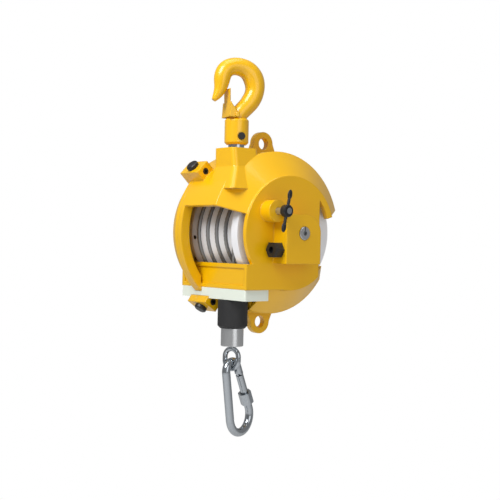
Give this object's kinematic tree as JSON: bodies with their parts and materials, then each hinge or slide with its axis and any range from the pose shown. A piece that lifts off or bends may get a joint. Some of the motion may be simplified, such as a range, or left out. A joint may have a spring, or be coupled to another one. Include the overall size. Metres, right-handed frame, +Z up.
{
  "type": "spring balancer",
  "caption": "Hanging spring balancer: yellow cast housing, swivel hook, grooved cone-shaped rope drum, worm adjuster, drum lock, buffer and screw carabiner on a wire rope.",
  "frame": {"origin": "The saddle of the suspension hook, the inner top of its bowl, on the load line", "axes": "+Z up along the load line, -Y the front with the gearbox and drum lock, +X to the right from the load line towards the drum axis, which lies parallel to Y"},
  "size_m": [0.196, 0.1782, 0.4534],
  "materials": {
    "housing_paint": "gloss golden-yellow paint over cast metal",
    "drum_metal": "satin machined casting",
    "black_steel": "black oxide",
    "rope_steel": "stranded wire, lightly greased",
    "zinc_steel": "bright zinc plating",
    "sleeve_metal": "turned, satin",
    "guide_nylon": "off-white nylon",
    "buffer_rubber": "matte black rubber",
    "bearing_bronze": "sintered bronze",
    "spring_steel": "blued strip",
    "axle_steel": "ground steel"
  },
  "bodies": {
    "housing": {"main_frame": "housing_paint", "rear_cover": "housing_paint", "cover_screws": "black_steel", "lug_buttons": "black_steel", "gear_cover": "housing_paint", "rope_guide_block": "guide_nylon", "guide_screws": "black_steel", "arbor_bushes": "bearing_bronze", "worm_bushes": "bearing_bronze"},
    "arbor_body": {"arbor": "axle_steel", "arbor_key": "axle_steel", "worm_wheel": "bearing_bronze", "spring_hub": "axle_steel"},
    "worm_body": {"worm_shaft": "black_steel"},
    "drum_body": {"rope_drum": "drum_metal", "drum_bushes": "bearing_bronze", "spring_case": "drum_metal", "spring_lid": "axle_steel", "case_screws": "black_steel", "rope_anchor_screw": "black_steel", "mainspring": "spring_steel", "rope_wraps": "rope_steel"},
    "lock_pin_body": {"lock_plunger": "axle_steel"},
    "lock_handle_body": {"lock_handle": "black_steel", "lock_handle_cap": "zinc_steel"},
    "hook_body": {"suspension_hook": "housing_paint", "hook_sleeve": "housing_paint", "sleeve_pin": "black_steel", "swivel_stud": "zinc_steel", "thrust_washer": "bearing_bronze", "stud_nut": "zinc_steel", "latch_pin": "housing_paint"},
    "latch_body": {"safety_latch": "housing_paint"},
    "load_end": {"rubber_buffer": "buffer_rubber", "end_sleeve": "sleeve_metal", "rope_ferrule": "zinc_steel", "rope_run": "rope_steel"},
    "eye_body": {"eye_link": "zinc_steel"},
    "carabiner": {"carabiner_body": "zinc_steel", "gate_pin": "zinc_steel"},
    "gate": {"carabiner_gate": "zinc_steel"},
    "gate_sleeve": {"gate_screw_sleeve": "zinc_steel"}
  },
  "joints": [
    {"name": "hook_swivel", "type": "hinge", "parent": "housing", "child": "hook_body", "pos_m": [0, 0, -0.1], "axis": [0, 0, 1], "continuous": true},
    {"name": "latch_fold", "type": "hinge", "parent": "hook_body", "child": "latch_body", "pos_m": [-0.00456, 0.00114, -0.048], "axis": [0.2419, 0.9703, 0], "range_deg": [0, 35], "stiffness_Nm_per_rad": 0.05, "springref_deg": -40.11},
    {"name": "drum_spin", "type": "hinge", "parent": "housing", "child": "drum_body", "pos_m": [0.05, 0, -0.186], "axis": [0, -1, 0], "range_deg": [0, 1470], "stiffness_Nm_per_rad": 0.26, "springref_deg": -1632.93, "deforming": ["mainspring"]},
    {"name": "rope_travel", "type": "slide", "parent": "housing", "child": "load_end", "axis": [0, 0, -1], "range_m": [0, 1.5], "deforming": ["rope_run"]},
    {"name": "eye_swivel", "type": "hinge", "parent": "load_end", "child": "eye_body", "pos_m": [0, 0, -0.3218], "axis": [0, 0, 1], "continuous": true},
    {"name": "carabiner_swing", "type": "hinge", "parent": "eye_body", "child": "carabiner", "pos_m": [0, 0, -0.3488], "axis": [-0.2924, 0.9563, 0], "range_deg": [-20, 56]},
    {"name": "gate_open", "type": "hinge", "parent": "carabiner", "child": "gate", "pos_m": [0.01377, 0.00421, -0.35301], "axis": [-0.2924, 0.9563, 0], "range_deg": [0, 25], "stiffness_Nm_per_rad": 0.05, "springref_deg": -34.38},
    {"name": "gate_lock", "type": "slide", "parent": "gate", "child": "gate_sleeve", "axis": [0.4245, 0.1298, -0.8961], "range_m": [0, 0.006]},
    {"name": "arbor_turn", "type": "hinge", "parent": "housing", "child": "arbor_body", "pos_m": [0.05, 0, -0.186], "axis": [0, 1, 0], "range_deg": [0, 720]},
    {"name": "worm_turn", "type": "hinge", "parent": "housing", "child": "worm_body", "pos_m": [0.05, -0.057, -0.206], "axis": [1, 0, 0], "range_deg": [0, 17280]},
    {"name": "lock_slide", "type": "slide", "parent": "housing", "child": "lock_pin_body", "axis": [0, 1, 0], "range_m": [0, 0.006], "stiffness_N_per_m": 150, "springref_m": -0.006},
    {"name": "lock_turn", "type": "hinge", "parent": "lock_pin_body", "child": "lock_handle_body", "pos_m": [0.015, -0.0785, -0.161], "axis": [0, 1, 0], "range_deg": [0, 90]}
  ],
  "couplings": [
    {"joint": "rope_travel", "follows": "drum_spin", "m_per_rad": 0.058},
    {"joint": "worm_turn", "follows": "arbor_turn", "ratio": 24},
    {"joint": "lock_turn", "follows": "lock_slide", "rad_per_m": 261.8}
  ]
}
